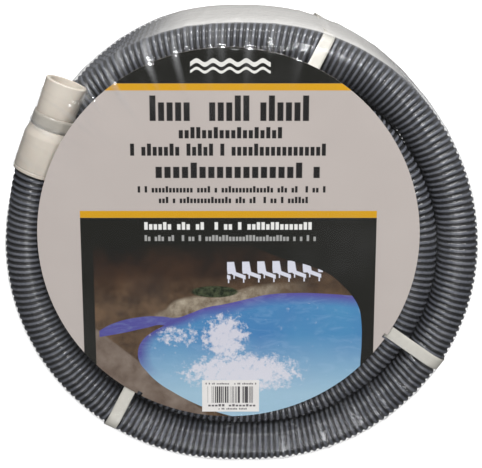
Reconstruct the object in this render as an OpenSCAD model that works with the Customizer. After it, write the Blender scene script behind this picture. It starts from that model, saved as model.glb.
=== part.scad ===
// Coiled swimming-pool vacuum hose, packed for sale.
// The coil lies flat: +Z is up, the origin is on the floor under the middle of the coil.
// All lengths are millimetres and all angles are degrees, counted anticlockwise from +X.

/* [Hose] */
// Outside diameter over the ridges
hose_od = 48; // [46:0.5:48]
// Bore of both cuffs, nominal 1.5 inch
cuff_bore_d = 38.1; // [37:0.1:39]

/* [Coil] */
// Half width of the outer column's centreline, along X
coil_a = 254.5; // [252:0.5:256]
// Half width of the outer column's centreline, along Y
coil_b = 240.5; // [238:0.5:242]
// Distance between the outer and the inner column
column_pitch = 48.6; // [48.2:0.1:49]
// Layers that go all the way round, under the top turns
full_layers = 5; // [5:1:5]
// Height of the lowest hose above the floor, over the film and the bands
base_z = 1; // [1:0.1:1.4]

/* [Cuffs] */
// Length of the swivel cuff from the hose end to the mouth
swivel_len = 112; // [112:1:114]
// Length of the plain cuff
plain_len = 104; // [100:1:106]
// Depth of the socket that the hose is glued into
hose_socket = 38; // [34:1:38]
// Depth of the mouth that takes the pool fitting
mouth_depth = 36; // [30:1:38]

/* [Card] */
// Diameter of the printed card
card_d = 441.6; // [430:0.2:444]
// Thickness of the card
card_t = 1; // [0.8:0.1:1.2]
// Lean of the card, up towards +Y, where it rests on the plain cuff
card_lean = 0.8; // [0.8:0.05:0.9]

/* [Bands] */
// Width of the packing bands
band_w = 15; // [12:0.5:16]
// Thickness of the packing bands
band_t = 0.6; // [0.4:0.1:0.6]

/* [Hidden] */

hose_r = hose_od / 2;
stretch = coil_a - coil_b;                 // half of the straight run on the +Y and -Y sides
top_z = layer_z(full_layers + 1);          // centre height of the top turns
full_top = base_z + full_layers * hose_od; // top of the full layers
function layer_z(n) = base_z + hose_r + (n - 1) * hose_od;

// Where the outer turn steps down a layer, and where the inner one climbs
outer_step = [330, 488];
inner_step = [485, 635];
outer_first = 168;   // the outer turn leaves the swivel cuff here
outer_last = 500;
inner_first = 490;   // the inner turn rises out of the full layers here
inner_last = 795;    // the inner turn meets the plain cuff here
turn_step = 10.5;    // angle from ring to ring along a turn
straight_share = 6;  // how sharply a turn passes from its round ends to its straight sides

// Swivel cuff, over the outer column
cuff_r = 27;                               // thickest radius of either cuff
cuff_z = full_top + cuff_r + 0.3;
swivel_at = [-240, 94, cuff_z];
swivel_turn = 69;
lock_from = 56;                            // stations along the swivel cuff's axis
lock_to = 71;
spigot_to = 63;
sleeve_from = 71.3;
lock_r = 23.9;
spigot_r = 22.4;                           // the collar's spigot, inside the lock ring
neck_r = 22.9;
mouth_r = 24.1;
tail_r = 19.2;
flange_r = 21.3;
run_gap = 0.08;                            // running fit between the sleeve and its ring
flow_r = 16;                               // bore through the neck

// Plain cuff, over the inner column and under the card
plain_at = [25.7, 188.8, cuff_z];
plain_turn = 177;

card_at = [-15.7, 21.6, 293.3];
film_t = 0.3;
film_gap = 1.8;                            // from the hose to the film's inside
film_top = 298.2;
film_flat = coil_b + 6;                    // the film lies flat over the card out to here
film_shoulder = 284;
film_lip = 60;                             // how far the film tucks in under the coil
cream = [0.86, 0.83, 0.77];
slate = [0.17, 0.18, 0.22];

// ---------- routes ----------
function ease(t) = let (c = min(1, max(0, t))) (1 - cos(180 * c)) / 2;
function unit(v) = v / norm(v);
function step_share(u, span) = ease((u - span[0]) / (span[1] - span[0]));
function clamp1(v) = min(1, max(-1, v));
function oval(u, inset, z) =
    [(coil_b - inset) * cos(u) + stretch * clamp1(straight_share * cos(u)), (coil_b - inset) * sin(u), z];
function along(at, turn, w) = at + w * [cos(turn), sin(turn), 0];

outer_route = concat(
    [for (w = [hose_socket - 2, 6, -6]) along(swivel_at, swivel_turn, w)],
    [for (u = [outer_first : turn_step : outer_last])
        oval(u, 0, top_z - hose_od * step_share(u, outer_step))]);
inner_route = concat(
    [for (u = [inner_first : turn_step : inner_last])
        oval(u, column_pitch, top_z - hose_od * (1 - step_share(u, inner_step)))],
    [for (w = [-6, 6, hose_socket - 2]) along(plain_at, plain_turn, w)]);

// A tube of n sides swept along a list of points
module tube(route, r, n = 12) {
    last = len(route) - 1;
    function heading(i) = unit(route[min(i + 1, last)] - route[max(i - 1, 0)]);
    function side(i) = unit(cross(heading(i), [0, 0, 1]));
    points = [for (i = [0 : last]) let (s = side(i), up = cross(s, heading(i)))
        for (k = [0 : n - 1]) route[i] + r * (cos(k * 360 / n) * s + sin(k * 360 / n) * up)];
    walls = [for (i = [0 : last - 1], k = [0 : n - 1]) let (j = (k + 1) % n)
        each [[i * n + k, (i + 1) * n + k, (i + 1) * n + j], [i * n + k, (i + 1) * n + j, i * n + j]]];
    caps = [[for (k = [0 : n - 1]) k], [for (k = [n - 1 : -1 : 0]) last * n + k]];
    polyhedron(points, concat(walls, caps), convexity = 8);
}

// A profile drawn in radius and height, carried round the oval of the coil
module carry_round() {
    for (half = [0, 1]) rotate([0, 0, 180 * half]) {
        translate([stretch, 0, 0]) rotate([0, 0, -90]) rotate_extrude(angle = 180, $fn = 180) children();
        translate([-stretch, 0, 0]) rotate([90, 0, 90]) linear_extrude(2 * stretch) children();
    }
}

// ---------- hose ----------
module coil_profile() {
    for (n = [1 : full_layers], inset = [0, column_pitch])
        translate([coil_b - inset, layer_z(n)]) circle(r = hose_r, $fn = 64);
    translate([coil_b - column_pitch - 0.35 * hose_r, layer_z(1)])
        square([column_pitch + 0.7 * hose_r, layer_z(full_layers) - layer_z(1)]);
    translate([coil_b - column_pitch, base_z]) square([column_pitch, full_layers * hose_od]);
}

module hose_coil() color(slate) carry_round() coil_profile();
module hose_top_outer_turn() color(slate) tube(outer_route, hose_r);
module hose_top_inner_turn() color(slate) tube(inner_route, hose_r);

// ---------- cuffs ----------
module on_axis(at, turn) translate(at) rotate([0, 90, turn]) children();
module turned(points) rotate_extrude($fn = 120) polygon(points);

module swivel_collar() color(cream) on_axis(swivel_at, swivel_turn)
    turned([[hose_r + 0.1, 0], [26.2, 0], [26.4, 1.5], [cuff_r, 45], [lock_r + 0.3, lock_from - 0.3],
            [spigot_r, lock_from - 0.3], [spigot_r, spigot_to], [flange_r + run_gap, spigot_to],
            [flange_r + run_gap, 54], [flow_r, 54], [flow_r, hose_socket], [hose_r + 0.1, hose_socket]]);

module swivel_lock_ring() color([0.62, 0.60, 0.56]) on_axis(swivel_at, swivel_turn)
    turned([[spigot_r, lock_from], [lock_r - 0.3, lock_from], [lock_r, lock_from + 2], [neck_r + 0.6, lock_to],
            [tail_r + run_gap, lock_to], [tail_r + run_gap, 67], [flange_r + run_gap, 67],
            [flange_r + run_gap, spigot_to], [spigot_r, spigot_to]]);

module swivel_seal() color([0.12, 0.12, 0.13]) on_axis(swivel_at, swivel_turn)
    turned([[17, 54], [20.9, 54], [20.9, 56.8], [20.3, 57.4], [17.6, 57.4], [17, 56.8]]);

module swivel_sleeve() color(cream) on_axis(swivel_at, swivel_turn)
    turned([[flow_r, 57.6], [flange_r, 57.6], [flange_r, 66.8], [tail_r, 66.8], [tail_r, sleeve_from],
            [neck_r, sleeve_from], [mouth_r, swivel_len - 1], [mouth_r - 0.9, swivel_len],
            [cuff_bore_d / 2, swivel_len], [cuff_bore_d / 2, swivel_len - mouth_depth],
            [flow_r, swivel_len - mouth_depth]]);

module plain_cuff() color(cream) on_axis(plain_at, plain_turn)
    turned([[hose_r + 0.1, 0], [26, 0], [26.2, 1.5], [26.6, 44], [neck_r + 0.4, 54],
            [mouth_r, plain_len - 1], [mouth_r - 0.9, plain_len], [cuff_bore_d / 2, plain_len],
            [cuff_bore_d / 2, plain_len - mouth_depth], [flow_r, plain_len - mouth_depth],
            [flow_r, hose_socket], [hose_r + 0.1, hose_socket]]);

// ---------- packing bands ----------
// A flat band drawn tight round circles [x, z, radius]
module band(rounds) {
    rotate([90, 0, 0]) linear_extrude(band_w, center = true) difference() {
        hull() for (c = rounds) translate([c[0], c[1]]) circle(r = c[2] + band_t, $fn = 64);
        hull() for (c = rounds) translate([c[0], c[1]]) circle(r = c[2], $fn = 64);
    }
}

// A band round both columns, square to the hose, on the round end of the coil at x = end
module coil_band(end, turn, outer_drop = 0) {
    r_out = coil_b + 0.5;
    r_in = coil_b - column_pitch - 1.3;
    tight = hose_r + 0.1;
    color([0.88, 0.87, 0.84]) translate([end, 0, 0]) rotate([0, 0, turn])
        band([[r_out, layer_z(1), tight], [r_in, layer_z(1), tight],
              [r_in, top_z, tight + 0.1], [r_out, top_z - outer_drop, tight]]);
}

module band_upper_right() coil_band(stretch, 72, 30);
module band_lower_right() coil_band(stretch, 329.4);
module band_lower_left() coil_band(-stretch, 234.6);

// Stands on the floor under the lock ring, with +X square to the cuff
module under_lock_ring()
    translate(along([swivel_at[0], swivel_at[1], 0], swivel_turn, (lock_from + lock_to) / 2 + 1))
    rotate([0, 0, swivel_turn + 90]) children();

module band_over_cuff() {
    tight = hose_r + 0.1;
    color([0.80, 0.79, 0.76]) under_lock_ring()
        band([[0, cuff_z, lock_r + 0.2], [-11.4, layer_z(1), tight], [-71.8, layer_z(1), tight],
              [-71.8, layer_z(full_layers) + 4, tight + 0.4]]);
}

// ---------- card, sticker and film ----------
module on_card(z) translate(card_at) rotate([card_lean, 0, 0]) translate([0, 0, z]) children();

module printed_card() color([0.74, 0.71, 0.68]) on_card(0) difference() {
    cylinder(d = card_d, h = card_t, $fn = 180);
    for (turn = [241, 327]) rotate([0, 0, turn]) translate([card_d / 2 - 4, -3, -1]) cube([8, 6, card_t + 2]);
}

module barcode_sticker() color("white") on_card(card_t + 0.05)
    translate([2 - 34, -214.8, 0]) cube([68, 40, 0.15]);

module film_profile() {
    skin = coil_b + hose_r + film_gap;
    polygon([[0, film_top], [film_flat, film_top], [skin, film_shoulder], [skin, 0], [skin - film_lip, 0],
             [skin - film_lip, film_t], [skin - film_t, film_t], [skin - film_t, film_shoulder],
             [film_flat, film_top - film_t], [0, film_top - film_t]]);
}

module shrink_film() color([0.9, 0.93, 0.95, 0.25]) difference() {
    carry_round() film_profile();
    translate(along([swivel_at[0], swivel_at[1], 0], swivel_turn, -80)) rotate([0, 0, swivel_turn])
        translate([0, -44, full_top - 30]) cube([320, 133, 100]);
    under_lock_ring() translate([0, -band_w / 2 - 1, 2]) cube([40, band_w + 2, full_top]);
}

hose_coil();
hose_top_outer_turn();
hose_top_inner_turn();
swivel_collar();
swivel_lock_ring();
swivel_seal();
swivel_sleeve();
plain_cuff();
band_upper_right();
band_lower_right();
band_lower_left();
band_over_cuff();
printed_card();
barcode_sticker();
shrink_film();
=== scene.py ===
import math
import bpy
import bmesh
import numpy as np
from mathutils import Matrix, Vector


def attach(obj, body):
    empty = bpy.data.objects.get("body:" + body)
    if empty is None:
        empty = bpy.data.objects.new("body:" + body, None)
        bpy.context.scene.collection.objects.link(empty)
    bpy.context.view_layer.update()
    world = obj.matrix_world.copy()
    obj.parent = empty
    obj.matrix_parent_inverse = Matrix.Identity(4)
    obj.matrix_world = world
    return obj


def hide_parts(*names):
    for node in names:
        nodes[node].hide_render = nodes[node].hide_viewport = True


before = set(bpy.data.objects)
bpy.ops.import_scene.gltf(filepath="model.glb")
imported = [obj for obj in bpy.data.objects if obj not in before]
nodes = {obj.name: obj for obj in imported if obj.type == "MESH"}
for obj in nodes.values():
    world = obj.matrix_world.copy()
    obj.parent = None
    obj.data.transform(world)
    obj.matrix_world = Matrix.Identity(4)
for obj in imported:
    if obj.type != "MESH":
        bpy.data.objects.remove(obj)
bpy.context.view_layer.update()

scene = bpy.context.scene
rng = np.random.default_rng(7)

# ---------- sizes, in metres and degrees, as in the CAD model ----------
HOSE_OD = 0.048
HOSE_R = HOSE_OD / 2
COIL_B = 0.2405            # half width of the outer column's centreline, along Y
STRETCH = 0.014            # half of the straight run along X
PITCH = 0.0486             # from the outer to the inner column
TOP_Z = 0.265              # centre height of the top turns
CUFF_Z = 0.2683            # height of both cuffs' axes
SWIVEL_AT, SWIVEL_TURN, SWIVEL_LEN, SWIVEL_R = (-0.240, 0.094, CUFF_Z), 69.0, 0.112, 0.0270
PLAIN_AT, PLAIN_TURN, PLAIN_LEN, PLAIN_R = (0.0257, 0.1888, CUFF_Z), 177.0, 0.104, 0.0266
CARD_AT, CARD_R, CARD_LEAN = (-0.0157, 0.0216, 0.2933), 0.2208, 0.8
# the hose's way in degrees: down the outer column, across at the bottom, and up the inner one
OUTER_FROM, CROSS_FROM, OUTER_TO = 168, 2075, 2130
INNER_FROM, INNER_TO = -1110, 792
# from where to where, in degrees, the outer turns step down a layer and the inner ones climb
OUTER_STEP, INNER_STEP = (330, 488), (485, 635)
LAYERS_DOWN = 5
FLOOR_GAP = 0.001          # under the lowest turn, for the film and the bands

# ---------- camera, at the photograph's viewing angle ----------
TILT, DISTANCE, LENS = 15.0, 1.651, 104.56
target = Vector((0, 0, TOP_Z))
cam_data = bpy.data.cameras.new("camera")
cam_data.lens, cam_data.sensor_width = LENS, 36
cam_data.shift_x, cam_data.shift_y = -0.0022, 0.033
cam_data.clip_start, cam_data.clip_end = 0.05, 30
camera = bpy.data.objects.new("camera", cam_data)
scene.collection.objects.link(camera)
camera.location = target + DISTANCE * Vector((0, math.sin(math.radians(TILT)), math.cos(math.radians(TILT))))
camera.rotation_euler = (-math.radians(TILT), 0, 0)
scene.camera = camera


# ---------- meshes ----------
def ease(t):
    """A smooth step from 0 to 1."""
    return (1 - np.cos(np.pi * np.clip(t, 0, 1))) / 2


def axis_point(at, turn, w):
    """The point w along a cuff's axis."""
    a = math.radians(turn)
    return np.array([at[0] + w * math.cos(a), at[1] + w * math.sin(a), at[2]])


def oval(u, inset, z):
    """The coil's centreline at an angle, inset from the outer column."""
    c, s = math.cos(math.radians(u)), math.sin(math.radians(u))
    return np.array([(COIL_B - inset) * c + STRETCH * min(1, max(-1, 6 * c)), (COIL_B - inset) * s, z])


def spline(points, per):
    """Points on the uniform cubic B-spline of points, with its ends clamped."""
    p = np.vstack([2 * points[0] - points[1], points, 2 * points[-1] - points[-2]])
    t = (np.arange(per) / per)[None, :, None]
    a, b, c, d = (p[i:len(p) - 3 + i, None, :] for i in range(4))
    q = a * (1 - t) ** 3 + b * (3 * t**3 - 6 * t**2 + 4)
    q = q + c * (-3 * t**3 + 3 * t**2 + 3 * t + 1) + d * t**3
    return np.vstack([(q / 6).reshape(-1, 3), points[-1]])


def even(points, step):
    """The same line, with points every step of its length."""
    d = np.concatenate([[0], np.cumsum(np.linalg.norm(np.diff(points, axis=0), axis=1))])
    n = max(2, int(round(d[-1] / step)))
    s = np.linspace(0, d[-1], n + 1)
    return np.column_stack([np.interp(s, d, points[:, i]) for i in range(3)]), d[-1]


def mesh_object(name, verts, faces, smooth=True, uv=None):
    """faces is an array of quads, or a list of faces of any size."""
    me = bpy.data.meshes.new(name)
    if isinstance(faces, np.ndarray):
        me.vertices.add(len(verts))
        me.vertices.foreach_set("co", np.asarray(verts, np.float32).ravel())
        me.loops.add(faces.size)
        me.loops.foreach_set("vertex_index", faces.astype(np.int32).ravel())
        me.polygons.add(len(faces))
        me.polygons.foreach_set("loop_start", np.arange(0, faces.size, faces.shape[1], dtype=np.int32))
        if uv is not None:
            layer = me.uv_layers.new(name="OFBake")
            layer.data.foreach_set("uv", np.asarray(uv, np.float32).ravel())
        me.update(calc_edges=True)
    else:
        me.from_pydata([tuple(v) for v in verts], [], faces)
        me.update()
    me.polygons.foreach_set("use_smooth", np.full(len(me.polygons), smooth))
    o = bpy.data.objects.new(name, me)
    scene.collection.objects.link(o)
    return o


def face_outward(o):
    bm = bmesh.new()
    bm.from_mesh(o.data)
    bmesh.ops.recalc_face_normals(bm, faces=bm.faces)
    bm.to_mesh(o.data)
    bm.free()


def point_value(o, name, values):
    """Stores one number a vertex, for the materials."""
    layer = o.data.attributes.new(name, "FLOAT", "POINT")
    layer.data.foreach_set("value", values.ravel().astype(np.float32))


# ---------- the hose: one cord, wound down the outer column and up the inner one ----------
def steps_taken(u, first, spacing):
    """How many layers the hose has stepped at an angle. The steps are spacing degrees apart."""
    return sum(ease((u - first[0] - spacing * j) / (first[1] - first[0])) for j in range(LAYERS_DOWN))


def hose_route():
    """Points on the centreline from the swivel cuff to the plain one, and its length."""
    in_socket = np.array([0.036, 0.015, -0.006])                # along each cuff's axis
    points = [axis_point(SWIVEL_AT, SWIVEL_TURN, w) for w in in_socket]
    for u in np.arange(OUTER_FROM, OUTER_TO, 5.0):
        inset = PITCH * ease((u - CROSS_FROM) / (OUTER_TO - CROSS_FROM))
        points.append(oval(u, inset, TOP_Z - HOSE_OD * steps_taken(u, OUTER_STEP, 360)))
    for u in np.arange(INNER_FROM, INNER_TO, 6.0):
        points.append(oval(u, PITCH, TOP_Z - HOSE_OD * (LAYERS_DOWN - steps_taken(u, INNER_STEP, -360))))
    points += [axis_point(PLAIN_AT, PLAIN_TURN, w) for w in in_socket[::-1]]
    return even(spline(np.array(points), per=12), step=0.004)


route, route_length = hose_route()
RIDGE, SIDES = 0.0070, 24
VALLEY_R = 0.0220
# share of a ridge's pitch, and radius there: round ridges with a shallow, nearly flat valley between them
RIDGE_FORM = ((0.00, VALLEY_R), (0.13, 0.0222), (0.25, 0.0234), (0.38, HOSE_R), (0.62, HOSE_R),
              (0.75, 0.0234), (0.87, 0.0222))


def hose_mesh():
    """The hose as one helix of ridges: its vertices, faces, map places and vertex radii."""
    turns = int(route_length / RIDGE) - 1
    pitch = route_length / (turns + 1)
    j = np.arange(turns * SIDES + 1)
    forms = len(RIDGE_FORM)
    share = np.array([f[0] for f in RIDGE_FORM])[None, :]
    radius = np.array([f[1] for f in RIDGE_FORM])[None, :]
    s = (j[:, None] / SIDES + share) * pitch                    # stations along the route
    d = np.linspace(0, route_length, len(route))
    centre = np.stack([np.interp(s, d, route[:, i]) for i in range(3)], -1)
    head = np.gradient(route, axis=0)
    head = np.stack([np.interp(s, d, head[:, i]) for i in range(3)], -1)
    head /= np.linalg.norm(head, axis=-1, keepdims=True)
    side = np.cross(head, [0, 0, 1.0])
    side /= np.linalg.norm(side, axis=-1, keepdims=True)
    up = np.cross(side, head)
    a = (2 * np.pi * (j % SIDES) / SIDES)[:, None, None]
    verts = centre + radius[..., None] * (np.cos(a) * side + np.sin(a) * up)
    n = len(j)
    jj, p = np.meshgrid(np.arange(n - 1), np.arange(forms), indexing="ij")
    last = p == forms - 1
    keep = ~(last & (jj + 1 + SIDES > n - 1))
    jj, p, last = jj[keep], p[keep], last[keep]
    here, ahead = jj * forms + p, (jj + 1) * forms + p
    up_here = np.where(last, (jj + SIDES) * forms, jj * forms + p + 1)
    up_ahead = np.where(last, (jj + 1 + SIDES) * forms, (jj + 1) * forms + p + 1)
    faces = np.stack([here, ahead, up_ahead, up_here], -1)
    # the map places are laid out in rows, a length of hose to each, with a margin round it
    rows = 10
    long = route_length / rows
    s0 = (jj / SIDES + share[0][p]) * pitch
    s1 = (jj / SIDES + np.append(share[0], 1.0)[p + 1]) * pitch
    row = np.minimum(np.floor(s0 / long), rows - 1)
    u0, u1 = ((x - row * long) / long * 0.985 + 0.005 for x in (s0, s1))
    v0 = (row + 0.02 + 0.96 * (jj % SIDES) / SIDES) / rows
    v1 = v0 + 0.96 / SIDES / rows
    uv = np.stack([np.stack(corner, -1) for corner in ((u0, v0), (u0, v1), (u1, v1), (u1, v0))], 1)
    return verts.reshape(-1, 3), faces, uv, np.tile(radius.ravel(), n)


verts, faces, uv, ridge_height = hose_mesh()
hose = mesh_object("ridged_hose", verts, faces, uv=uv)
point_value(hose, "crest", (ridge_height - VALLEY_R) / (HOSE_R - VALLEY_R))
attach(hose, "coil")
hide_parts("hose_coil", "hose_top_outer_turn", "hose_top_inner_turn")


# ---------- turned pieces ----------
def fillet(profile, radius=0.0006, steps=3):
    """The closed profile with each corner rounded."""
    out, n = [], len(profile)
    for i, p in enumerate(profile):
        p = np.array(p)
        a, b = np.array(profile[i - 1]) - p, np.array(profile[(i + 1) % n]) - p
        r = min(radius, 0.3 * np.linalg.norm(a), 0.3 * np.linalg.norm(b))
        a, b = p + a / np.linalg.norm(a) * r, p + b / np.linalg.norm(b) * r
        for t in np.linspace(0, 1, steps):
            out.append((1 - t) ** 2 * a + 2 * t * (1 - t) * p + t**2 * b)
    return out


def ring_faces(rings, n):
    """Quads between closed rings of n points, with the last ring joined to the first."""
    here = np.arange(rings)[:, None] * n
    ahead = np.roll(here, -1, 0)
    point = np.arange(n)[None, :]
    beside = np.roll(point, -1, 1)
    return np.stack([here + point, here + beside, ahead + beside, ahead + point], -1).reshape(-1, 4)


SEGMENTS = 96


def turned(name, profile, at, turn, body, node):
    """profile holds (radius, station along the axis) in millimetres."""
    ring = fillet([(r * 0.001, w * 0.001) for r, w in profile])
    a = math.radians(turn)
    along, side = np.array([math.cos(a), math.sin(a), 0]), np.array([-math.sin(a), math.cos(a), 0])
    verts = []
    for k in range(SEGMENTS):
        t = 2 * math.pi * k / SEGMENTS
        out = math.cos(t) * side + math.sin(t) * np.array([0, 0, 1.0])
        for r, w in ring:
            verts.append(np.array(at) + along * w + out * r)
    o = mesh_object(name, verts, ring_faces(SEGMENTS, len(ring)))
    face_outward(o)
    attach(o, body)
    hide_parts(node)
    return o


collar = turned("swivel_collar_moulding", [
    (24.15, 0), (26.0, 0), (26.2, 1.5), (26.4, 3.2), (26.0, 3.8), (26.1, 4.6), (26.55, 5.0), (26.95, 44.2),
    (26.6, 46.2), (24.3, 55.7), (22.45, 55.7), (22.45, 63), (21.4, 63), (21.4, 54), (16, 54), (16, 38),
    (24.15, 38)],
    SWIVEL_AT, SWIVEL_TURN, "coil", "swivel_collar")
lock_ring = turned("swivel_lock_ring_moulding", [
    (22.5, 56), (23.6, 56), (23.9, 57.5), (23.5, 70.9), (19.3, 70.9), (19.3, 67), (21.4, 67),
    (21.4, 63.1), (22.5, 63.1)],
    SWIVEL_AT, SWIVEL_TURN, "coil", "swivel_lock_ring")
seal = turned("swivel_o_seal", [
    (17, 54.1), (20.9, 54.1), (20.9, 56.8), (20.3, 57.4), (17.6, 57.4), (17, 56.8)],
    SWIVEL_AT, SWIVEL_TURN, "coil", "swivel_seal")
sleeve = turned("swivel_sleeve_moulding", [
    (16, 57.6), (21.3, 57.6), (21.3, 66.8), (19.2, 66.8), (19.2, 71.3), (22.6, 71.3), (22.9, 72.0),
    (23.25, 80), (24.0, 109.0), (24.1, 111.0), (23.5, 112), (19.05, 112), (19.05, 76), (16, 76)],
    SWIVEL_AT, SWIVEL_TURN, "swivel", "swivel_sleeve")
plain = turned("plain_cuff_moulding", [
    (24.15, 0), (25.8, 0), (26.0, 1.5), (26.25, 3.2), (25.8, 3.8), (25.9, 4.6), (26.3, 5.0), (26.5, 44),
    (23.4, 54), (23.5, 60), (24.0, 101), (24.1, 103), (23.3, 104), (19.05, 104), (19.05, 68), (16, 68),
    (16, 38), (24.15, 38)],
    PLAIN_AT, PLAIN_TURN, "coil", "plain_cuff")


# ---------- packing bands: flat strips that lie tight round the coil ----------
BAND_W, BAND_T = 0.015, 0.0006
TURNS_FROM, TURNS_OVER = 0.19, 0.06        # from which height, and over how much, the cuff's band turns


def turns_left(a, b, p):
    return (b[0] - a[0]) * (p[1] - a[1]) - (b[1] - a[1]) * (p[0] - a[0]) > 0


def half_hull(points):
    out = []
    for p in points:
        while len(out) > 1 and not turns_left(out[-2], out[-1], p):
            out.pop()
        out.append(p)
    return out[:-1]


def tight_round(circles, step=0.003):
    """A closed line drawn tight round circles (x, z, radius), with points every step."""
    points = set()
    for x, z, r in circles:
        for t in np.linspace(0, 2 * math.pi, 72, endpoint=False):
            points.add((round(x + r * math.cos(t), 7), round(z + r * math.sin(t), 7)))
    points = sorted(points)
    hull = np.array(half_hull(points) + half_hull(points[::-1]))
    hull = np.vstack([hull, hull[:1]])
    d = np.concatenate([[0], np.cumsum(np.linalg.norm(np.diff(hull, axis=0), axis=1))])
    n = int(d[-1] / step)
    s = np.arange(n) / n * d[-1]
    return np.column_stack([np.interp(s, d, hull[:, i]) for i in (0, 1)])


def band(name, node, at, turn_low, turn_high, circles):
    """circles are (out, height, radius) in the band's plane, turned to turn_low below and turn_high above."""
    line = tight_round(circles)
    tangent = np.roll(line, -1, 0) - np.roll(line, 1, 0)
    tangent /= np.linalg.norm(tangent, axis=1, keepdims=True)
    outward = np.column_stack([tangent[:, 1], -tangent[:, 0]])
    half_w, bevel = BAND_W / 2, 0.0003
    top = [(w, BAND_T) for w in (bevel - half_w, -half_w / 2, 0, half_w / 2, half_w - bevel)]
    section = [(-half_w, 0), *top, (half_w, 0)]
    verts = []
    for (x, z), (ox, oz) in zip(line, outward):
        share = ease((z - TURNS_FROM) / TURNS_OVER)
        a = math.radians(turn_low + (turn_high - turn_low) * share)
        dirs = np.array([math.cos(a), math.sin(a), 0])
        across = np.array([-math.sin(a), math.cos(a), 0])
        for w, h in section:
            p = np.array([at[0], at[1], 0]) + dirs * (x + ox * h) + across * w
            verts.append((p[0], p[1], max(z + oz * h, 0.0001)))
    o = mesh_object(name, verts, ring_faces(len(line), len(section)))
    face_outward(o)
    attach(o, "coil")
    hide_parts(node)
    return o


TIGHT, LOW = HOSE_R + 0.0001, HOSE_R + FLOOR_GAP
R_OUT, R_IN = COIL_B + 0.0003, COIL_B - PITCH - 0.0003


def coil_band(node, end, turn, lean, pivot, drop):
    """A band round both columns. It leans from square to the hose, about a point at radius pivot."""
    swung = turn + lean
    at = axis_point(axis_point((end, 0, 0), turn, pivot), swung, -pivot)
    longer = 1 / math.cos(math.radians(lean))
    r_out, r_in = (pivot + (r - pivot) * longer for r in (R_OUT, R_IN))
    tight = TIGHT + HOSE_R * (longer - 1)
    return band(f"band_strip_{node[5:]}", node, at, swung, swung, [
        (r_out, LOW, tight), (r_in, LOW, tight), (r_in, TOP_Z, tight), (r_out, TOP_Z - drop, tight)])


bands = [coil_band("band_upper_right", STRETCH, 72, -13, COIL_B, 0.0334),
         coil_band("band_lower_right", STRETCH, 329.4, -5, R_IN, 0),
         coil_band("band_lower_left", -STRETCH, 234.6, 8.5, COIL_B - PITCH / 2, 0)]
under_ring = axis_point(SWIVEL_AT, SWIVEL_TURN, 0.0645)
cuff_band_painted_shade = band("band_strip_over_cuff", "band_over_cuff", under_ring, 144, 159, [
    (0, CUFF_Z, 0.0239), (-0.0142, LOW, TIGHT), (-0.0640, LOW, TIGHT), (-0.0640, 0.2215, TIGHT + 0.0006)])


# ---------- the film, drawn tight over the coil, the card and the swivel cuff ----------
FILM_OFF = 0.0006          # from the hose's ridges to the film
FILM_OVER_CARD = 0.0005
FILM_OVER_CUFF = 0.0007
FILM_LOW = 0.0003          # the film's height over the floor
MARGIN = 0.001             # how far past the card and the cuffs the film is still held off
CARD_LEVEL, CUFF_LEVEL = 0.20, 0.23        # only film above these can lie on the card or on a cuff
WAIST_FROM, WAIST_OVER, WAIST_IN = 0.045, 0.012, 0.0027    # both cuffs are slimmer towards the mouth
AROUND = 640               # points round the film at each station


def outer_top(u):
    """Height of the outer top turn's centre at an angle from 0 to 360."""
    u = np.where(u < 140, u + 360, u)
    return TOP_Z - HOSE_OD * ease((u - OUTER_STEP[0]) / (OUTER_STEP[1] - OUTER_STEP[0]))


def inner_top(u):
    """Height of the inner top turn's centre."""
    u = np.where(u < 125, u + 720, u + 360)
    return TOP_Z - HOSE_OD * (1 - ease((u - INNER_STEP[0]) / (INNER_STEP[1] - INNER_STEP[0])))


def card_height(y):
    return CARD_AT[2] + (y - CARD_AT[1]) * math.tan(math.radians(CARD_LEAN)) + 0.001


def from_middle(p):
    """How far points are from the middle of the coil, square to the hose, and the X share of it."""
    dx = np.sign(p[:, 0]) * np.maximum(np.abs(p[:, 0]) - STRETCH, 0)
    return np.hypot(dx, p[:, 1]), dx


def hold_off_hose(p):
    q, dx = from_middle(p)
    out = np.column_stack([dx, p[:, 1]]) / (q[:, None] + 1e-9)
    u = np.degrees(np.arctan2(p[:, 1], p[:, 0])) % 360
    for column, top in ((COIL_B, outer_top(u)), (COIL_B - PITCH, inner_top(u))):
        layer = np.clip(np.round((top - p[:, 2]) / HOSE_OD), 0, LAYERS_DOWN)
        centre_z = np.maximum(top - layer * HOSE_OD, HOSE_R + FLOOR_GAP)
        dr, dz = from_middle(p)[0] - column, p[:, 2] - centre_z
        near = np.hypot(dr, dz) + 1e-9
        push = np.maximum(HOSE_R + FILM_OFF - near, 0) / near
        p[:, :2] += out * dr[:, None] * push[:, None]
        p[:, 2] += dz * push


def hold_off_cuff(p, at, turn, length, radius):
    along = axis_point((0, 0, 0), turn, 1)
    v = p - np.array(at)
    w = v @ along
    off = v - w[:, None] * along
    near = np.linalg.norm(off, axis=1) + 1e-9
    waist = np.clip((w - WAIST_FROM) / WAIST_OVER, 0, 1) * WAIST_IN
    r_here = radius - waist + FILM_OVER_CUFF
    inside = (w > -MARGIN) & (w < length + MARGIN) & (near < r_here) & (p[:, 2] > CUFF_LEVEL)
    p += off * (np.where(inside, r_here / near - 1, 0))[:, None]


def hold_off(p, fixed):
    """Pushes the film's points out of the hose, the card and the cuffs."""
    hold_off_hose(p)
    on_card = np.hypot(p[:, 0] - CARD_AT[0], p[:, 1] - CARD_AT[1]) < CARD_R + MARGIN
    over = np.maximum(p[:, 2], card_height(p[:, 1]) + FILM_OVER_CARD)
    p[:, 2] = np.where(on_card & (p[:, 2] > CARD_LEVEL), over, p[:, 2])
    hold_off_cuff(p, SWIVEL_AT, SWIVEL_TURN, SWIVEL_LEN, SWIVEL_R)
    hold_off_cuff(p, PLAIN_AT, PLAIN_TURN, PLAIN_LEN, PLAIN_R)
    p[:, 2] = np.maximum(p[:, 2], FILM_LOW)
    p[fixed] = film_start[fixed]


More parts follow.
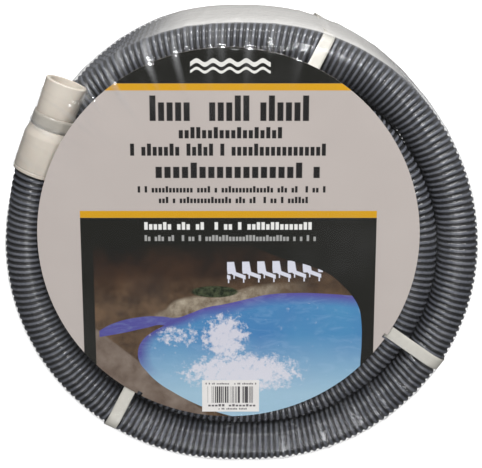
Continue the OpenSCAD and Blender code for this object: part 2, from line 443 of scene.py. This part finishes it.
def film_stations():
    """The film's starting profile: (radius, height) from the middle of the card round to the lip."""
    out, fold = 0.027, 0.0252                                   # from the outer column to the film
    over_arc, under_arc = np.linspace(-0.2, math.pi / 2, 16), np.linspace(0.15, math.pi / 2, 8)
    top = [(r, 0.2975) for r in np.linspace(0.004, 0.226, 34)]
    shoulder = [(COIL_B + out * math.sin(t), TOP_Z + 0.029 * math.cos(t)) for t in over_arc]
    side = [(COIL_B + out, z) for z in np.linspace(TOP_Z - 0.008, 0.026, 38)]
    under = [(COIL_B + fold * math.cos(t), 0.0255 - fold * math.sin(t)) for t in under_arc]
    lip = [(r, 0.0004) for r in np.linspace(COIL_B - 0.006, 0.208, 6)]
    return np.array(top + shoulder + side + under + lip)


stations = film_stations()
angles = 2 * np.pi * np.arange(AROUND) / AROUND
soft_stretch = np.clip(6 * np.cos(angles), -1, 1) * STRETCH
reach = np.clip(stations[:, 0] / 0.2, 0, 1)
film_start = np.stack([
    stations[None, :, 0] * np.cos(angles)[:, None] + soft_stretch[:, None] * reach[None, :],
    stations[None, :, 0] * np.sin(angles)[:, None],
    np.broadcast_to(stations[None, :, 1], (AROUND, len(stations)))], -1).reshape(-1, 3)
rows = len(stations)
index = np.arange(AROUND * rows).reshape(AROUND, rows)
fixed = index[:, -1]
film = film_start.copy()
hold_off(film, fixed)
AROUND_PULL, DOWN_PULL = 0.35, 0.65        # the film's pull round the coil, and over it and down
for _ in range(140):
    g = film.reshape(AROUND, rows, 3)
    mean = (np.roll(g, 1, 0) + np.roll(g, -1, 0)) / 2
    ends = g.copy()
    ends[:, 1:-1] = (g[:, 2:] + g[:, :-2]) / 2
    g = g + 0.5 * ((AROUND_PULL * mean + DOWN_PULL * ends) - g)
    film = g.reshape(-1, 3)
    hold_off(film, fixed)

# wrinkles: folds that run over the shoulder and down the side
grid = film.reshape(AROUND, rows, 3)
normal = np.cross(np.roll(grid, -1, 0) - np.roll(grid, 1, 0), np.gradient(grid, axis=1))
normal /= np.linalg.norm(normal, axis=-1, keepdims=True) + 1e-12
normal *= np.sign((normal * (grid - np.array([0, 0, 0.15]))).sum(-1).mean())
station = np.arange(rows)[None, :]
A = angles[:, None]
SHOULDER, SIDE_TOP, SIDE_LOW = 43, 48, 96  # stations of the film, counted from the middle of the card
shoulder_share = np.exp(-((station - SHOULDER) / 9.0) ** 2)
side_share = np.clip((station - SIDE_TOP) / 8.0, 0, 1) * np.clip((SIDE_LOW - station) / 6.0, 0, 1)
folds = np.zeros((AROUND, rows))
for n, amount in ((37, 0.5), (61, 0.4), (94, 0.3), (143, 0.2)):
    phase, twist = rng.uniform(0, 6.28), rng.uniform(-0.09, 0.09)
    folds += amount * np.sin(n * A + twist * station * 2 + phase + 1.3 * np.sin(5 * A + phase))
folds = np.maximum(folds, 0) ** 1.3
upper_left = np.exp(-(((np.degrees(A) - 118) / 34) ** 2))
lower_right = np.exp(-(((np.degrees(A) - 305) / 30) ** 2))
FOLD_HEIGHT = 0.0009
over_shoulder = shoulder_share * (0.35 + 2.2 * upper_left + 0.7 * lower_right)
height = FOLD_HEIGHT * folds * (over_shoulder + 0.5 * side_share)
film = (grid + normal * height[..., None]).reshape(-1, 3)
film[:, 2] = np.maximum(film[:, 2], FILM_LOW)
beside = np.roll(index, -1, 0)
quads = np.stack([index[:, :-1], beside[:, :-1], beside[:, 1:], index[:, 1:]], -1).reshape(-1, 4)
faces = [tuple(int(i) for i in f) for f in quads] + [tuple(int(i) for i in index[::-1, 0])]
film_piece = mesh_object("clear_film", film, faces)
# painted glare on the far side's wall, drawn as a whitish matt patch of the film, and bright folds over the
# shoulder
far_side = ease((np.sin(A) - 0.55) / 0.35) * ease((122 - np.degrees(A)) / 24)
wall = np.clip((station - SIDE_TOP - 1.5) / 1.5, 0, 1) * np.clip((SIDE_LOW - station) / 4.0, 0, 1) * far_side
glare = np.clip(folds, 0, 1.2) * shoulder_share * (0.9 * upper_left + 0.3 * lower_right)
point_value(film_piece, "glare", np.clip(glare, 0, 1))
point_value(film_piece, "painted_wall_glare", np.clip(wall, 0, 1))
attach(film_piece, "coil")
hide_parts("shrink_film")


# ---------- materials ----------
class Shade:
    """A material's node tree, with a Principled shader and short names for what it is built of."""

    def __init__(self, name, **values):
        self.material = bpy.data.materials.new(name)
        self.material.use_nodes = True
        self.nt = self.material.node_tree
        self.bsdf = self.nt.nodes["Principled BSDF"]
        for key, value in values.items():
            self.put(self.bsdf.inputs[key.replace("_", " ")], value)
        coords = self.nt.nodes.new("ShaderNodeTexCoord")
        self.place = coords.outputs["Object"]

    def put(self, socket, value):
        if isinstance(value, bpy.types.NodeSocket):
            self.nt.links.new(value, socket)
        elif isinstance(value, tuple):
            opaque = (1,) if len(value) == 3 and len(socket.default_value) == 4 else ()
            socket.default_value = value + opaque
        else:
            socket.default_value = value

    def math(self, op, a, b=0.0, c=0.0, clamp=False):
        n = self.nt.nodes.new("ShaderNodeMath")
        n.operation, n.use_clamp = op, clamp
        for socket, value in zip(n.inputs, (a, b, c)):
            self.put(socket, value)
        return n.outputs[0]

    def noise(self, scale, detail=3.0, rough=0.55, warp=0.0, stretch=None):
        n = self.nt.nodes.new("ShaderNodeTexNoise")
        for key, value in (("Scale", scale), ("Detail", detail), ("Roughness", rough), ("Distortion", warp)):
            n.inputs[key].default_value = value
        at = self.place
        if stretch:
            m = self.nt.nodes.new("ShaderNodeMapping")
            m.inputs["Scale"].default_value = stretch
            self.put(m.inputs["Vector"], at)
            at = m.outputs[0]
        self.put(n.inputs["Vector"], at)
        return n.outputs[0]

    def cells(self, scale):
        n = self.nt.nodes.new("ShaderNodeTexVoronoi")
        n.inputs["Scale"].default_value = scale
        self.put(n.inputs["Vector"], self.place)
        return n.outputs["Distance"]

    def point(self, name):
        """A number stored at the mesh's vertices by point_value."""
        n = self.nt.nodes.new("ShaderNodeAttribute")
        n.attribute_name = name
        return n.outputs["Fac"]

    def chance(self, cell):
        """A random number from 0 to 1 for each cell."""
        n = self.nt.nodes.new("ShaderNodeTexWhiteNoise")
        n.noise_dimensions = "1D"
        self.put(n.inputs["W"], cell)
        return n.outputs["Value"]

    def ramp(self, x, low, high):
        """0 at low and 1 at high."""
        return self.math("MULTIPLY_ADD", x, 1 / (high - low), -low / (high - low), True)

    def mix(self, share, a, b):
        n = self.nt.nodes.new("ShaderNodeMix")
        n.data_type = "RGBA"
        for socket, value in ((n.inputs[0], share), (n.inputs[6], a), (n.inputs[7], b)):
            self.put(socket, value)
        return n.outputs[2]

    def bump(self, height, distance, strength):
        n = self.nt.nodes.new("ShaderNodeBump")
        n.inputs["Strength"].default_value, n.inputs["Distance"].default_value = strength, distance
        self.put(n.inputs["Height"], height)
        self.put(self.bsdf.inputs["Normal"], n.outputs[0])
        return n.outputs[0]

    def curve(self, x, points, low=-220.0, high=240.0):
        """A smooth curve through points, both ways in millimetres."""
        n = self.nt.nodes.new("ShaderNodeFloatCurve")
        line = n.mapping.curves[0]
        size = high - low
        ps = [((a - low) / size, (b - low) / size) for a, b in sorted(points)]
        while len(line.points) < len(ps):
            line.points.new(0.5, 0.5)
        for point, (a, b) in zip(line.points, ps):
            point.location = (a, b)
        n.mapping.extend = "HORIZONTAL"
        n.mapping.update()
        self.put(n.inputs["Value"], self.math("MULTIPLY_ADD", x, 1 / size, -low / size))
        return self.math("MULTIPLY_ADD", n.outputs[0], size, low)

    def wear(self, *objects):
        for o in objects:
            o.data.materials.clear()
            o.data.materials.append(self.material)


def hose_material():
    s = Shade("ridged_pvc", IOR=1.5, Coat_Weight=0.45, Coat_Roughness=0.09)
    crest = s.point("crest")
    dust = s.noise(26, 4, 0.6)
    tone = s.mix(s.ramp(dust, 0.35, 0.7), (0.100, 0.107, 0.130), (0.150, 0.156, 0.178))
    # near-black between the ridges: painted shade in the valleys, over a tone on the crests that differs at
    # random
    s.put(s.bsdf.inputs["Base Color"], s.mix(s.ramp(crest, 0.55, 1.0), (0.002, 0.002, 0.003), tone))
    valley = s.ramp(crest, 0.7, 0.1)
    gloss = s.math("MULTIPLY_ADD", s.noise(180, 2), 0.16, 0.20)
    s.put(s.bsdf.inputs["Roughness"], s.math("MULTIPLY_ADD", valley, 0.4, gloss))
    s.bump(s.noise(900, 3, 0.6), 0.0002, 0.35)
    return s


def cuff_material(name, colour, deep, rough=0.36):
    s = Shade(name, IOR=1.47, Subsurface_Weight=0.04, Subsurface_Scale=0.004, Coat_Weight=0.1,
              Coat_Roughness=0.2)
    cloud = s.noise(22, 4, 0.6)
    streak = s.noise(9, 3, 0.5, stretch=(6, 6, 0.7))
    tone = s.mix(s.ramp(cloud, 0.35, 0.75), colour, deep)
    s.put(s.bsdf.inputs["Base Color"], s.mix(s.math("MULTIPLY", s.ramp(streak, 0.55, 0.8), 0.3), tone, deep))
    s.put(s.bsdf.inputs["Roughness"], s.math("MULTIPLY_ADD", s.noise(60, 3), 0.2, rough - 0.08))
    s.bump(s.noise(1300, 2, 0.5), 0.00025, 0.3)
    return s


def band_material(name, colour, deep):
    s = Shade(name, IOR=1.5, Coat_Weight=0.25, Coat_Roughness=0.15)
    tone = s.mix(s.ramp(s.noise(40, 3), 0.35, 0.7), colour, deep)
    s.put(s.bsdf.inputs["Base Color"], tone)
    s.put(s.bsdf.inputs["Roughness"], s.math("MULTIPLY_ADD", s.noise(120, 2), 0.2, 0.28))
    weave = s.math("MULTIPLY", s.cells(620), 0.6)
    s.bump(s.math("ADD", weave, s.noise(90, 2)), 0.0003, 0.35)
    return s


def film_material():
    s = Shade("clear_film", IOR=1.5, Roughness=0.12)
    crinkle = s.noise(70, 5, 0.6, 0.6)
    fine = s.cells(230)
    normal = s.bump(s.math("MULTIPLY_ADD", fine, 0.25, crinkle), 0.0016, 0.55)
    weight = s.nt.nodes.new("ShaderNodeLayerWeight")
    weight.inputs["Blend"].default_value = 0.32
    s.put(weight.inputs["Normal"], normal)
    facing = weight.outputs["Facing"]
    # nearly clear face on, whiter at a glancing angle and on the folds
    edge_on = s.math("POWER", facing, 2.2)
    alpha = s.math("MULTIPLY_ADD", edge_on, 0.55, 0.012)
    alpha = s.math("MULTIPLY_ADD", s.point("glare"), 0.45, alpha)
    # painted glare on the far wall: the film is made whitish and matt there, patchy, and more opaque at a
    # glancing angle
    painted_wall_glare = s.point("painted_wall_glare")
    patchy = s.math("MULTIPLY_ADD", s.noise(55, 4, 0.6, 0.5), 0.3, 0.6)
    thick = s.math("MULTIPLY", patchy, s.math("MULTIPLY_ADD", facing, 1.05, 0.08))
    alpha = s.math("ADD", s.math("MULTIPLY", painted_wall_glare, thick), alpha)
    cloud = s.ramp(s.noise(9, 4, 0.6), 0.50, 0.8)
    s.put(s.bsdf.inputs["Alpha"], s.math("MULTIPLY_ADD", cloud, 0.03, alpha, True))
    # where the glare is painted, the film is matt and a warm white
    s.put(s.bsdf.inputs["Metallic"], s.math("MULTIPLY_ADD", painted_wall_glare, -0.6, 0.6, True))
    s.put(s.bsdf.inputs["Base Color"], s.mix(painted_wall_glare, (0.97, 0.98, 1.0), (0.97, 0.95, 0.92)))
    return s


class Print(Shade):
    """The card's printed face. X and Y are millimetres on the card."""

    def __init__(self, name, **values):
        super().__init__(name, **values)
        split = self.nt.nodes.new("ShaderNodeSeparateXYZ")
        self.nt.links.new(self.place, split.inputs[0])
        self.x, self.y = (self.math("MULTIPLY", split.outputs[i], 1000.0) for i in (0, 1))

    def above(self, a, b, soft=0.5):
        """1 where a is over b."""
        d = self.math("SUBTRACT", a, b)
        return self.math("MULTIPLY_ADD", d, 1 / soft, 0.5, True)

    def all(self, *masks):
        out = masks[0]
        for m in masks[1:]:
            out = self.math("MULTIPLY", out, m)
        return out

    def box(self, x0, x1, y0, y1, x=None, y=None, soft=0.5):
        x, y = x or self.x, y or self.y
        between = self.all(self.above(x, x0, soft), self.above(x1, x, soft))
        return self.all(between, self.above(y, y0, soft), self.above(y1, y, soft))

    def ellipse(self, cx, cy, rx, ry, soft):
        dx = self.math("MULTIPLY_ADD", self.x, 1 / rx, -cx / rx)
        dy = self.math("MULTIPLY_ADD", self.y, 1 / ry, -cy / ry)
        d = self.math("ADD", self.math("MULTIPLY", dx, dx), self.math("MULTIPLY", dy, dy))
        return self.math("MULTIPLY_ADD", d, -1 / soft, 1 / soft, True)

    def blocks(self, x0, x1, y0, y1, pitch, seed, gaps):
        """A row of plain blocks in place of a line of text."""
        x0, x1 = math.floor(x0 / pitch) * pitch, math.ceil(x1 / pitch) * pitch
        c = self.math("DIVIDE", self.x, pitch)
        cell = self.math("FLOOR", c)
        part = self.math("SUBTRACT", c, cell)
        chance = self.chance(self.math("ADD", cell, seed))
        rise = 0.27 * (y1 - y0)
        tall = self.math("GREATER_THAN", chance, 0.66)
        top = self.math("MULTIPLY_ADD", tall, rise, y1 - rise)
        shown = self.math("GREATER_THAN", chance, gaps)
        inside = self.all(self.above(part, 0.14, 0.1), self.above(0.86, part, 0.1), shown)
        return self.all(self.box(x0, x1, y0, 999.0), self.above(top, self.y, 0.4), inside)


# the card's layout, in millimetres
HEADER_LOW, STRIPE_LOW = 201.5, 193.6
PANEL_LEFT, PANEL_RIGHT, PANEL_TOP, PANEL_STRIPE_TOP = -186.5, 155, 46.1, 54.4
LOUNGER_PITCH, LOUNGERS_LEFT, LOUNGERS_RIGHT = 17.6, -17.4, 94.0


def card_material():
    s = Print("card_print", IOR=1.45, Roughness=0.46, Specular_IOR_Level=0.18)
    x, y = s.x, s.y
    grey, black, gold = (0.520, 0.468, 0.440), (0.0085, 0.0085, 0.0060), (0.640, 0.335, 0.008)
    colour = s.mix(s.ramp(s.noise(6, 3), 0.3, 0.7), grey, (0.475, 0.425, 0.400))
    # header with a plain wave mark, and the two stripes
    colour = s.mix(s.above(y, HEADER_LOW), colour, black)
    wave = s.math("MULTIPLY", s.math("SINE", s.math("MULTIPLY", x, 0.34)), 2.2)
    for middle, thick in ((225.0, 2.6), (216.5, 1.6)):
        d = s.math("ABSOLUTE", s.math("SUBTRACT", s.math("SUBTRACT", y, wave), middle))
        colour = s.mix(s.all(s.above(thick, d), s.box(-58, 32, 190, 240)), colour, (0.78, 0.77, 0.73))
    colour = s.mix(s.box(-400, 400, STRIPE_LOW, HEADER_LOW), colour, gold)
    colour = s.mix(s.box(PANEL_LEFT, PANEL_RIGHT, PANEL_TOP, PANEL_STRIPE_TOP), colour, gold)
    # plain blocks where the card has its lines of text
    for row in ((-100, 74, 159, 188, 9.6, 3, 0.12),
                (-70, 41, 139, 152, 6.6, 11, 0.0),
                (-124, 97, 119, 133, 6.4, 23, 0.13),
                (-102, 81, 93, 111, 10.0, 31, 0.12),
                (-119, 100, 76, 83.5, 4.0, 47, 0.16),
                (-95, 73, 63.5, 71, 4.0, 59, 0.16)):
        colour = s.mix(s.blocks(*row), colour, (0.012, 0.011, 0.011))
    # the black panel and its picture
    colour = s.mix(s.box(PANEL_LEFT, PANEL_RIGHT, -300, PANEL_TOP), colour, black)
    right = s.curve(y, [(-220, 139), (-133, 140), (-104, 141), (-79, 140), (-63, 137), (-47, 128), (-36, 118),
                        (-22, 102), (-12, 80), (0, 40), (20, 0)])
    picture = s.all(s.above(x, -172.5), s.above(right, x), s.ramp(y, 16.0, -6.0))
    ground = s.noise(34, 6, 0.65)
    far = s.noise(11, 4, 0.6)
    deck = s.mix(s.ramp(ground, 0.32, 0.72), (0.030, 0.017, 0.010), (0.165, 0.100, 0.055))
    dusk = s.mix(s.ramp(far, 0.42, 0.75), (0.008, 0.007, 0.006), (0.060, 0.026, 0.012))
    fade = s.math("ADD", s.ramp(y, -22.0, -62.0), s.math("MULTIPLY_ADD", far, 0.8, -0.4), clamp=True)
    rim = s.curve(x, [(-172, -70), (-120, -52), (-70, -38), (-20, -33), (40, -24), (90, -14), (120, -14)])
    scene_colour = s.mix(fade, dusk, deck)
    scene_colour = s.mix(s.all(s.above(rim, y, 22), 0.6), scene_colour, deck)
    top = s.curve(x, [(-169, -92), (-151, -82), (-118, -74), (-95, -73.5), (-77, -75), (-59, -69), (-44, -63),
                      (-19, -58), (14, -50), (27, -47), (65, -44.5), (98, -45.5), (140, -49)])
    path_top = s.curve(x, [(-150, -78), (-110, -72), (-92, -66), (-80, -56), (-59, -50), (-24, -48),
                           (14, -37), (52, -33), (92, -30), (140, -40)])
    stone = s.mix(s.ramp(s.noise(60, 5, 0.7), 0.35, 0.7), (0.125, 0.088, 0.055), (0.44, 0.38, 0.29))
    path = s.all(s.above(path_top, y, 5), s.above(y, top), s.ramp(x, -125.0, -75.0), s.ramp(x, 80.0, 10.0))
    scene_colour = s.mix(path, scene_colour, stone)
    hedge = s.mix(s.ramp(s.noise(150, 4, 0.7), 0.4, 0.65), (0.006, 0.012, 0.004), (0.070, 0.085, 0.040))
    scene_colour = s.mix(s.ellipse(-32, -43, 29, 7.5, 0.25), scene_colour, hedge)
    left = s.curve(y, [(-204, 10), (-197, -20), (-190, -40), (-181, -60), (-169, -81), (-155, -101),
                       (-141, -114), (-131, -121), (-117, -123), (-104, -118), (-93, -106), (-84, -90),
                       (-75, -74), (-62, -60)])
    low = s.curve(x, [(-169, -99), (-139, -93.5), (-111, -87), (-95, -84), (-77, -92)])
    lawn = s.mix(s.ramp(s.noise(45, 5, 0.6), 0.35, 0.7), (0.125, 0.088, 0.066), (0.245, 0.195, 0.160))
    slope = s.math("MULTIPLY_ADD", x, -0.83, -231.0)
    scene_colour = s.mix(s.all(s.above(slope, y, 3), s.above(-84.0, y, 2)), scene_colour, lawn)
    # the water
    depth = s.math("SUBTRACT", top, y)
    side_in = s.math("SUBTRACT", x, left)
    water = s.mix(s.ramp(s.noise(8, 3, 0.5), 0.3, 0.7), (0.050, 0.175, 0.420), (0.075, 0.270, 0.480))
    water = s.mix(s.all(s.ramp(y, -95.0, -170.0), 0.75), water, (0.420, 0.600, 0.690))
    water = s.mix(s.ramp(depth, 15.0, 2.0), water, (0.095, 0.085, 0.330))
    water = s.mix(s.all(s.ramp(side_in, 16.0, 3.0), s.ramp(y, -150.0, -120.0)), water, (0.080, 0.075, 0.300))
    ripple = s.ramp(s.noise(70, 4, 0.6, 0.8, stretch=(0.6, 1.6, 1)), 0.50, 0.68)
    water = s.mix(s.math("MULTIPLY", ripple, 0.14), water, (0.42, 0.58, 0.76))
    spark = s.noise(120, 5, 0.75)
    near_spark = s.math("MAXIMUM", s.ellipse(-20, -100, 34, 38, 1.0), s.ellipse(0, -143, 88, 30, 0.9))
    near_spark = s.math("MAXIMUM", near_spark, s.math("MULTIPLY", s.ellipse(-75, -97, 38, 17, 1.0), 0.65))
    foam = s.ramp(s.math("MULTIPLY_ADD", near_spark, 0.36, s.math("SUBTRACT", spark, 0.36)), 0.27, 0.43)
    foam = s.all(foam, s.ramp(depth, 3.0, 12.0))
    water = s.mix(s.math("MULTIPLY", foam, 0.85), water, (0.72, 0.69, 0.74))
    ribbon = s.all(s.above(top, y), s.above(y, low), s.above(x, -168.0), s.above(-74.0, x))
    pool = s.math("MAXIMUM", s.all(s.above(x, left), s.above(top, y)), ribbon)
    scene_colour = s.mix(pool, scene_colour, water)
    # a row of six loungers, drawn once in a cell that repeats
    cell = s.math("MULTIPLY_ADD", x, 1 / LOUNGER_PITCH, 17.5 / LOUNGER_PITCH)
    part = s.math("MULTIPLY", s.math("FRACT", cell), LOUNGER_PITCH)
    level = s.math("MULTIPLY_ADD", x, -0.022, y)
    lean = s.math("MULTIPLY_ADD", level, 0.18, 4.0)
    lounger = s.box(1.0, 11.0, -21, -6.5, x=s.math("ADD", part, lean), y=level, soft=1.0)
    ahead = s.math("SUBTRACT", cell, 6 / LOUNGER_PITCH)
    seat = s.math("MULTIPLY", s.math("FRACT", ahead), LOUNGER_PITCH)
    seat_line = s.math("MULTIPLY_ADD", seat, -0.40, -19.5)
    off = s.math("ABSOLUTE", s.math("SUBTRACT", level, seat_line))
    lounger = s.math("MAXIMUM", lounger, s.all(s.above(2.4, off, 0.8), s.above(15.6, seat)))
    for a, b, c, d in ((1.5, 3.0, -27, -20), (12.6, 14.2, -32, -24)):
        lounger = s.math("MAXIMUM", lounger, s.box(a, b, c, d, x=seat, y=level))
    slats = s.math("MULTIPLY_ADD", s.math("SINE", s.math("MULTIPLY", level, 4.2)), 0.12, 0.85)
    lounger = s.all(lounger, s.above(x, LOUNGERS_LEFT), s.above(LOUNGERS_RIGHT, x))
    white = s.mix(slats, (0.30, 0.31, 0.38), (0.74, 0.75, 0.84))
    scene_colour = s.mix(lounger, scene_colour, white)
    colour = s.mix(picture, colour, scene_colour)
    colour = s.mix(s.blocks(-110, 79, 32, 41, 5.4, 71, 0.14), colour, (0.80, 0.80, 0.78))
    colour = s.mix(s.blocks(-113, 84, 18.5, 25.5, 3.9, 83, 0.14), colour, (0.36, 0.36, 0.35))
    # board on the edge and the back
    geometry = s.nt.nodes.new("ShaderNodeNewGeometry")
    up = s.nt.nodes.new("ShaderNodeSeparateXYZ")
    s.nt.links.new(geometry.outputs["True Normal"], up.inputs[0])
    board = s.mix(s.ramp(s.noise(300, 3), 0.3, 0.7), (0.50, 0.46, 0.40), (0.62, 0.58, 0.52))
    s.put(s.bsdf.inputs["Base Color"], s.mix(s.ramp(up.outputs[2], 0.4, 0.6), board, colour))
    s.bump(s.noise(40, 3, 0.5), 0.0006, 0.25)
    return s


def sticker_material():
    s = Print("bar_sticker", IOR=1.5, Roughness=0.42)
    chance = s.chance(s.math("FLOOR", s.math("MULTIPLY", s.x, 1.55)))
    bars = s.all(s.math("GREATER_THAN", chance, 0.5), s.box(-41, 14, -182, -161))
    colour = s.mix(s.ramp(s.noise(30, 2), 0.3, 0.7), (0.80, 0.78, 0.76), (0.74, 0.72, 0.70))
    colour = s.mix(bars, colour, (0.05, 0.045, 0.05))
    for row in ((-44, 17, -158.6, -156.4, 1.9, 5, 0.2),
                (-41, 14, -186.6, -183.6, 4.1, 9, 0.1),
                (-31, 5, -190.6, -188.4, 1.9, 15, 0.2)):
        colour = s.mix(s.blocks(*row), colour, (0.10, 0.09, 0.10))
    s.put(s.bsdf.inputs["Base Color"], colour)
    s.bump(s.noise(200, 3), 0.0002, 0.25)
    return s


def seal_material():
    s = Shade("rubber_seal", IOR=1.5)
    s.put(s.bsdf.inputs["Base Color"], s.mix(s.noise(120, 3), (0.012, 0.012, 0.013), (0.035, 0.035, 0.037)))
    s.put(s.bsdf.inputs["Roughness"], s.math("MULTIPLY_ADD", s.noise(200, 2), 0.2, 0.55))
    s.bump(s.noise(900, 2), 0.0002, 0.3)
    return s


hose_material().wear(hose)
cream = cuff_material("cuff_plastic", (0.64, 0.585, 0.51), (0.57, 0.51, 0.44))
cream.wear(collar, sleeve, plain)
cuff_material("lock_ring_plastic", (0.55, 0.53, 0.48), (0.47, 0.45, 0.41), 0.42).wear(lock_ring)
seal_material().wear(seal)
band_material("packing_band", (0.66, 0.64, 0.58), (0.54, 0.52, 0.47)).wear(*bands)
# the band over the cuff is as pale as the other bands; its darker colours here are painted shade
band_material("cuff_band_painted_shade", (0.43, 0.40, 0.35), (0.37, 0.345, 0.30)).wear(cuff_band_painted_shade)
card_material().wear(nodes["printed_card"])
sticker_material().wear(nodes["barcode_sticker"])
film_material().wear(film_piece)

# ---------- floor, light ----------
floor = mesh_object("floor", [(-3, -3, 0), (3, -3, 0), (3, 3, 0), (-3, 3, 0)], [(0, 1, 2, 3)], smooth=False)
pale = Shade("floor", Roughness=0.9)
pale.put(pale.bsdf.inputs["Base Color"], pale.mix(pale.noise(3, 2), (0.92, 0.92, 0.92), (0.95, 0.95, 0.95)))
pale.put(pale.bsdf.inputs["Emission Color"], (1, 1, 1))
pale.put(pale.bsdf.inputs["Emission Strength"], 0.55)
pale.wear(floor)
floor.visible_diffuse = floor.visible_glossy = False


def area_light(name, at, size, power):
    """A rectangular light that faces the coil."""
    data = bpy.data.lights.new(name, "AREA")
    data.shape, data.size, data.size_y, data.energy = "RECTANGLE", *size, power
    o = bpy.data.objects.new(name, data)
    o.location = at
    o.rotation_euler = (Vector((0, 0, 0.2)) - Vector(at)).to_track_quat("-Z", "Y").to_euler()
    scene.collection.objects.link(o)


area_light("key", (0.2, 1.6, 2.0), (0.5, 0.4), 34)
area_light("fill", (0.1, -1.9, 1.7), (1.4, 0.8), 22)
area_light("strip", (0.3, 2.3, 0.62), (2.6, 0.14), 48)
world = bpy.data.worlds.new("studio")
scene.world = world
world.use_nodes = True
wt = world.node_tree
back = wt.nodes["Background"]
back.inputs[0].default_value = (1, 1, 1, 1)
# a soft dome, brighter above and beyond the coil, and plain white where the camera sees it
direction = wt.nodes.new("ShaderNodeTexCoord")
dot = wt.nodes.new("ShaderNodeVectorMath")
dot.operation = "DOT_PRODUCT"
dot.inputs[1].default_value = Vector((0.0, 0.42, 0.90)).normalized()
wt.links.new(direction.outputs["Generated"], dot.inputs[0])
dome = wt.nodes.new("ShaderNodeMapRange")
for socket, value in zip(("From Min", "From Max", "To Min", "To Max"), (-0.1, 0.95, 0.05, 0.42)):
    dome.inputs[socket].default_value = value
wt.links.new(dot.outputs["Value"], dome.inputs["Value"])
seen = wt.nodes.new("ShaderNodeLightPath")
pick = wt.nodes.new("ShaderNodeMix")
wt.links.new(seen.outputs["Is Camera Ray"], pick.inputs[0])
wt.links.new(dome.outputs[0], pick.inputs[2])
pick.inputs[3].default_value = 1.0
wt.links.new(pick.outputs[0], back.inputs[1])
scene.view_settings.view_transform = "Standard"
